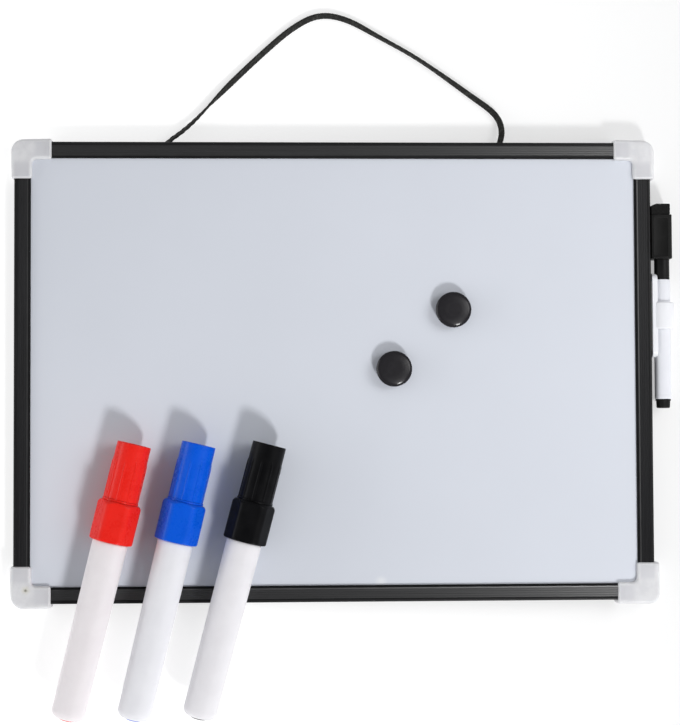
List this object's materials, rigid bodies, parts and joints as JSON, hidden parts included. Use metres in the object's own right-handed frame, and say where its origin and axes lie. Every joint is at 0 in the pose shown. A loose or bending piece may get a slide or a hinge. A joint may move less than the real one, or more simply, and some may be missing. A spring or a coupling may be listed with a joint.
{
  "type": "hanging magnetic whiteboard",
  "caption": "Small framed magnetic whiteboard with milky corner guards, hanging cord, button magnets, a clip-on pen with eraser cap and loose markers.",
  "frame": {"origin": "middle of the bottom rail's back face, on the plane that the frame rests on", "axes": "+X to the right along the long side, +Y up the board towards the hanging cord, +Z out of the writing face"},
  "size_m": [0.365, 0.3892, 0.0316],
  "materials": {
    "white_enamel": "gloss",
    "board_core": "matte",
    "back_plastic": "matte",
    "rail_black": "satin",
    "guard_milky": "satin",
    "cord_black": "matte",
    "clip_white": "gloss",
    "foam_white": "matte",
    "magnet_black": "gloss",
    "ferrite": "matte",
    "cap_black": "gloss",
    "cap_red": "gloss",
    "cap_blue": "gloss",
    "felt_black": "matte",
    "barrel_white": "satin",
    "section_white": "satin",
    "nib_black": "matte",
    "nib_red": "matte",
    "nib_blue": "matte",
    "reservoir_felt": "matte"
  },
  "bodies": {
    "board": {"writing_surface": "white_enamel", "core_panel": "board_core", "back_sheet": "back_plastic", "rail_top": "rail_black", "rail_bottom": "rail_black", "rail_left": "rail_black", "rail_right": "rail_black", "corner_top_left": "guard_milky", "corner_top_right": "guard_milky", "corner_bottom_left": "guard_milky", "corner_bottom_right": "guard_milky", "hanging_cord": "cord_black", "cord_knot_left": "cord_black", "cord_knot_right": "cord_black", "pen_clip": "clip_white", "clip_adhesive_pad": "foam_white"},
    "magnet_left": {"magnet_left_cap": "magnet_black", "magnet_left_disc": "ferrite"},
    "magnet_right": {"magnet_right_cap": "magnet_black", "magnet_right_disc": "ferrite"},
    "clip_pen_cap_body": {"clip_pen_cap": "cap_black", "clip_pen_eraser_felt": "felt_black"},
    "clip_pen_body": {"clip_pen_barrel": "barrel_white", "clip_pen_end_plug": "cap_black", "clip_pen_section": "section_white", "clip_pen_nib": "nib_black", "clip_pen_reservoir": "reservoir_felt"},
    "marker_red": {"marker_red_barrel": "barrel_white", "marker_red_tail_plug": "cap_red", "marker_red_section": "section_white", "marker_red_nib": "nib_red", "marker_red_reservoir": "reservoir_felt"},
    "marker_red_cap_body": {"marker_red_cap": "cap_red"},
    "marker_blue": {"marker_blue_barrel": "barrel_white", "marker_blue_tail_plug": "cap_blue", "marker_blue_section": "section_white", "marker_blue_nib": "nib_blue", "marker_blue_reservoir": "reservoir_felt"},
    "marker_blue_cap_body": {"marker_blue_cap": "cap_blue"},
    "marker_black": {"marker_black_barrel": "barrel_white", "marker_black_tail_plug": "cap_black", "marker_black_section": "section_white", "marker_black_nib": "nib_black", "marker_black_reservoir": "reservoir_felt"},
    "marker_black_cap_body": {"marker_black_cap": "cap_black"}
  },
  "joints": [
    {"name": "magnet_left_pull_off", "type": "slide", "parent": "board", "child": "magnet_left", "axis": [0, 0, 1], "range_m": [0, 0.04]},
    {"name": "magnet_right_pull_off", "type": "slide", "parent": "board", "child": "magnet_right", "axis": [0, 0, 1], "range_m": [0, 0.04]},
    {"name": "clip_pen_slide", "type": "slide", "parent": "board", "child": "clip_pen_cap_body", "axis": [0, 1, 0], "range_m": [-0.0075, 0.012]},
    {"name": "clip_pen_uncap", "type": "slide", "parent": "clip_pen_cap_body", "child": "clip_pen_body", "axis": [0, -1, 0], "range_m": [0, 0.05]},
    {"name": "marker_red_lift", "type": "slide", "parent": "board", "child": "marker_red", "axis": [0, 0, 1], "range_m": [0, 0.08]},
    {"name": "marker_red_uncap", "type": "slide", "parent": "marker_red", "child": "marker_red_cap_body", "axis": [0.2385, 0.9711, 0], "range_m": [0, 0.055]},
    {"name": "marker_blue_lift", "type": "slide", "parent": "board", "child": "marker_blue", "axis": [0, 0, 1], "range_m": [0, 0.08]},
    {"name": "marker_blue_uncap", "type": "slide", "parent": "marker_blue", "child": "marker_blue_cap_body", "axis": [0.2351, 0.972, 0], "range_m": [0, 0.055]},
    {"name": "marker_black_lift", "type": "slide", "parent": "board", "child": "marker_black", "axis": [0, 0, 1], "range_m": [0, 0.08]},
    {"name": "marker_black_uncap", "type": "slide", "parent": "marker_black", "child": "marker_black_cap_body", "axis": [0.2554, 0.9668, 0], "range_m": [0, 0.055]}
  ]
}
